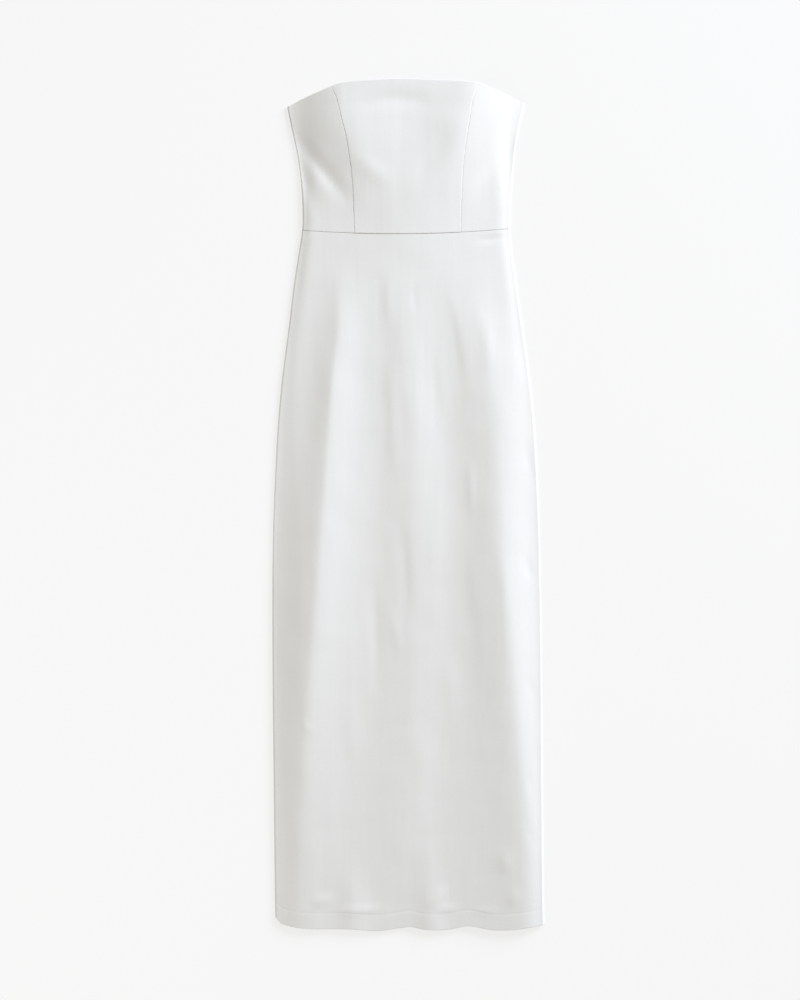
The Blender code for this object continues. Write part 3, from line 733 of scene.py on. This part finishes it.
def woven(name, colour, roughness, sheen, thread, depth):
    """Cloth of warp floats: soft streaks in the colour, and weave lines over drawn streaks in the relief."""
    material, tree, shader = new_material(name, colour, roughness)
    shader.inputs["Sheen Weight"].default_value = sheen
    shader.inputs["Sheen Roughness"].default_value = 0.4
    places = node_in(tree, "ShaderNodeTexCoord", (-1300, 0))
    stretch = node_in(tree, "ShaderNodeMapping", (-1100, 200))
    stretch.inputs["Scale"].default_value = STREAK_SCALE
    tree.links.new(places.outputs["Object"], stretch.inputs["Vector"])
    streaks = node_in(tree, "ShaderNodeTexNoise", (-900, 200), Scale=1.0, Detail=3.0, Roughness=0.6)
    tree.links.new(stretch.outputs["Vector"], streaks.inputs["Vector"])
    tint = node_in(tree, "ShaderNodeMix", (-600, 200), data_type="RGBA")
    tint.inputs["A"].default_value = (*[channel * (1 - TINT_SPREAD) for channel in colour], 1.0)
    tint.inputs["B"].default_value = (*[channel * (1 + TINT_SPREAD) for channel in colour], 1.0)
    grain = node_in(tree, "ShaderNodeTexNoise", (-900, 450), Scale=GRAIN_SCALE, Detail=1.0)
    tree.links.new(places.outputs["Object"], grain.inputs["Vector"])
    both = node_in(tree, "ShaderNodeMix", (-750, 350), data_type="FLOAT")
    both.inputs["Factor"].default_value = GRAIN_SHARE
    tree.links.new(streaks.outputs["Fac"], both.inputs["A"])
    tree.links.new(grain.outputs["Fac"], both.inputs["B"])
    tree.links.new(both.outputs["Result"], tint.inputs["Factor"])
    tree.links.new(tint.outputs["Result"], shader.inputs["Base Color"])
    turn = node_in(tree, "ShaderNodeMapping", (-1100, -200))
    turn.inputs["Rotation"].default_value = (0.0, 0.0, WEAVE_TURN)
    tree.links.new(places.outputs["Object"], turn.inputs["Vector"])
    repeat = WAVE_RADIAN / thread * 2 * math.pi
    lines = node_in(tree, "ShaderNodeTexWave", (-900, -200), Scale=repeat, Distortion=1.5)
    lines.inputs["Detail"].default_value = 1.0
    tree.links.new(turn.outputs["Vector"], lines.inputs["Vector"])
    relief = node_in(tree, "ShaderNodeBump", (-400, -200), Strength=0.25, Distance=depth)
    tree.links.new(lines.outputs["Fac"], relief.inputs["Height"])
    drawn = node_in(tree, "ShaderNodeMapping", (-1100, -500))
    drawn.inputs["Scale"].default_value = DRAWN_SCALE
    tree.links.new(places.outputs["Object"], drawn.inputs["Vector"])
    hang = node_in(tree, "ShaderNodeTexNoise", (-900, -500), Scale=1.0, Detail=2.5, Roughness=0.45)
    tree.links.new(drawn.outputs["Vector"], hang.inputs["Vector"])
    soft = node_in(tree, "ShaderNodeBump", (-600, -400), Strength=1.0, Distance=DRAWN_DEPTH)
    tree.links.new(hang.outputs["Fac"], soft.inputs["Height"])
    tree.links.new(soft.outputs["Normal"], relief.inputs["Normal"])
    tree.links.new(relief.outputs["Normal"], shader.inputs["Normal"])
    return material


def satin_materials():
    """The shining and the dull side of the satin, made once."""
    look = bpy.context.scene.satin_look
    if "satin_face" not in bpy.data.materials:
        woven("satin_face", look.colour, look.roughness, look.sheen, look.thread, FACE_DEPTH)
        woven("satin_reverse", look.reverse, look.reverse_roughness, look.sheen, look.thread, REVERSE_DEPTH)
    return [bpy.data.materials["satin_face"], bpy.data.materials["satin_reverse"]]


def wear(obj, node):
    """Puts a finished panel on the dress in place of its node."""
    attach(obj, BODY)
    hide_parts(node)


class DRESS_OT_stage(bpy.types.Operator):
    """Lay the pale floor, hang the lights and set the camera over the dress"""

    bl_idname = "dress.stage"
    bl_label = "Stage"

    def execute(self, context):
        look = context.scene.stage_look
        self.add_floor(look)
        centre = Vector((look.camera_x, look.camera_y, 0.0))
        self.add_light(KEY, look.key_watts, centre)
        self.add_light(FILL, look.fill_watts, centre)
        world = bpy.data.worlds.new("studio")
        world.use_nodes = True
        world.node_tree.nodes["Background"].inputs["Color"].default_value = SKY_COLOUR
        world.node_tree.nodes["Background"].inputs["Strength"].default_value = look.sky
        context.scene.world = world
        context.scene.view_settings.view_transform = "Standard"
        self.add_camera(look, centre)
        return {"FINISHED"}

    def add_floor(self, look):
        bm = bmesh.new()
        bmesh.ops.create_grid(bm, x_segments=1, y_segments=1, size=FLOOR_REACH)
        material, tree, shader = new_material("floor", look.floor, 0.9)
        shader.inputs["Specular IOR Level"].default_value = 0.1
        shader.inputs["Emission Color"].default_value = (1.0, 1.0, 1.0, 1.0)
        places = node_in(tree, "ShaderNodeTexCoord", (-900, -300))
        towards = node_in(tree, "ShaderNodeVectorMath", (-700, -300), operation="DOT_PRODUCT")
        towards.inputs[1].default_value = TOWARDS_KEY
        tree.links.new(places.outputs["Object"], towards.inputs[0])
        glow = node_in(tree, "ShaderNodeMath", (-500, -300), operation="MULTIPLY_ADD", use_clamp=True)
        glow.inputs[1].default_value = -look.floor_even
        glow.inputs[2].default_value = look.floor_glow
        tree.links.new(towards.outputs["Value"], glow.inputs[0])
        tree.links.new(glow.outputs["Value"], shader.inputs["Emission Strength"])
        object_from("floor", bm, [material])

    def add_light(self, lamp, watts, centre):
        data = bpy.data.lights.new(lamp.name, "AREA")
        data.energy = watts
        data.size = lamp.size
        data.color = lamp.colour
        around, up = math.radians(lamp.azimuth), math.radians(lamp.elevation)
        out = Vector((math.cos(around) * math.cos(up), math.sin(around) * math.cos(up), math.sin(up)))
        light = link(bpy.data.objects.new(lamp.name, data))
        light.location = centre + out * lamp.distance
        light.rotation_euler = (-out).to_track_quat("-Z", "Y").to_euler()

    def add_camera(self, look, centre):
        data = bpy.data.cameras.new("camera")
        data.sensor_width = SENSOR_WIDTH
        data.lens = data.sensor_width * look.camera_height / look.frame_height
        camera = link(bpy.data.objects.new("camera", data))
        camera.location = centre + Vector((0.0, 0.0, look.camera_height))
        bpy.context.scene.camera = camera


class DRESS_OT_skirt(bpy.types.Operator):
    """Cut and lay the front and the two back pieces of the skirt"""

    bl_idname = "dress.skirt"
    bl_label = "Skirt"

    def execute(self, context):
        sizes = context.scene.cloth_sizes
        half = sizes.seam_gap / 2
        high = beside(waist, -half)
        hem_lines = [sizes.hem_depth + stop for stop in HEM_LINE_STOPS]
        panels = {
            "skirt_back_left": Panel(
                False, outline_left, beside(centre_back, -half), hem, high,
                "roll", "seam", "fold", "seam", 0.0, BACK_CREASES,
            ),
            "skirt_back_right": Panel(
                False, beside(centre_back, half), outline_right, hem, high,
                "seam", "roll", "fold", "seam", 0.0, BACK_CREASES,
            ),
            "skirt_front": Panel(
                True, outline_left, outline_right, hem, high,
                "roll", "roll", "fold", "seam", 0.0, SKIRT_CREASES,
            ),
        }
        for node, panel in panels.items():
            obj = add_panel(node + "_satin", panel, sizes, satin_materials(), hem_lines)
            wear(obj, node)
        return {"FINISHED"}


class DRESS_OT_bodice(bpy.types.Operator):
    """Cut and lay the three front and the two back pieces of the bodice"""

    bl_idname = "dress.bodice"
    bl_label = "Bodice"

    def execute(self, context):
        sizes = context.scene.cloth_sizes
        half = sizes.seam_gap / 2
        low = beside(waist, half)
        step, centre_step = sizes.bodice_proud, sizes.bodice_proud + sizes.centre_proud
        panels = {
            "bodice_back_left": Panel(
                False, outline_left, beside(centre_back, -half), low, back_top_edge,
                "roll", "seam", "seam", "fold", 0.0, BACK_CREASES,
            ),
            "bodice_back_right": Panel(
                False, beside(centre_back, half), outline_right, low, back_top_edge,
                "seam", "roll", "seam", "fold", 0.0, BACK_CREASES,
            ),
            "bodice_side_front_left": Panel(
                True, outline_left, beside(princess_left, -half), low, top_edge,
                "roll", "seam", "seam", "fold", step, BODICE_CREASES,
            ),
            "bodice_centre_front": Panel(
                True, beside(princess_left, half), beside(princess_right, -half), low, top_edge,
                "seam", "seam", "seam", "fold", centre_step, BODICE_CREASES,
            ),
            "bodice_side_front_right": Panel(
                True, beside(princess_right, half), outline_right, low, top_edge,
                "seam", "roll", "seam", "fold", step, BODICE_CREASES,
            ),
        }
        for node, panel in panels.items():
            wear(add_panel(node + "_satin", panel, sizes, satin_materials()), node)
        return {"FINISHED"}


class DRESS_PT_pieces(bpy.types.Panel):
    """Lists the pieces of the dress and its stage"""

    bl_idname = "DRESS_PT_pieces"
    bl_label = "Strapless dress"
    bl_space_type = "VIEW_3D"
    bl_region_type = "UI"
    bl_category = "Dress"

    def draw(self, context):
        for group in (context.scene.cloth_sizes, context.scene.satin_look, context.scene.stage_look):
            box = self.layout.box()
            for name in group.bl_rna.properties.keys():
                if name not in ("rna_type", "name"):
                    box.prop(group, name)
        for operator in OPERATORS:
            self.layout.operator(operator.bl_idname)


OPERATORS = (DRESS_OT_stage, DRESS_OT_skirt, DRESS_OT_bodice)
GROUPS = {"cloth_sizes": ClothSizes, "satin_look": SatinLook, "stage_look": StageLook}


def register():
    for cls in (*GROUPS.values(), *OPERATORS, DRESS_PT_pieces):
        bpy.utils.register_class(cls)
    for name, group in GROUPS.items():
        setattr(bpy.types.Scene, name, bpy.props.PointerProperty(type=group))


def unregister():
    for name in GROUPS:
        delattr(bpy.types.Scene, name)
    for cls in (DRESS_PT_pieces, *reversed(OPERATORS), *reversed(GROUPS.values())):
        bpy.utils.unregister_class(cls)


def main():
    register()
    bpy.ops.dress.stage()
    bpy.ops.dress.skirt()
    bpy.ops.dress.bodice()


if __name__ == "__main__":
    main()
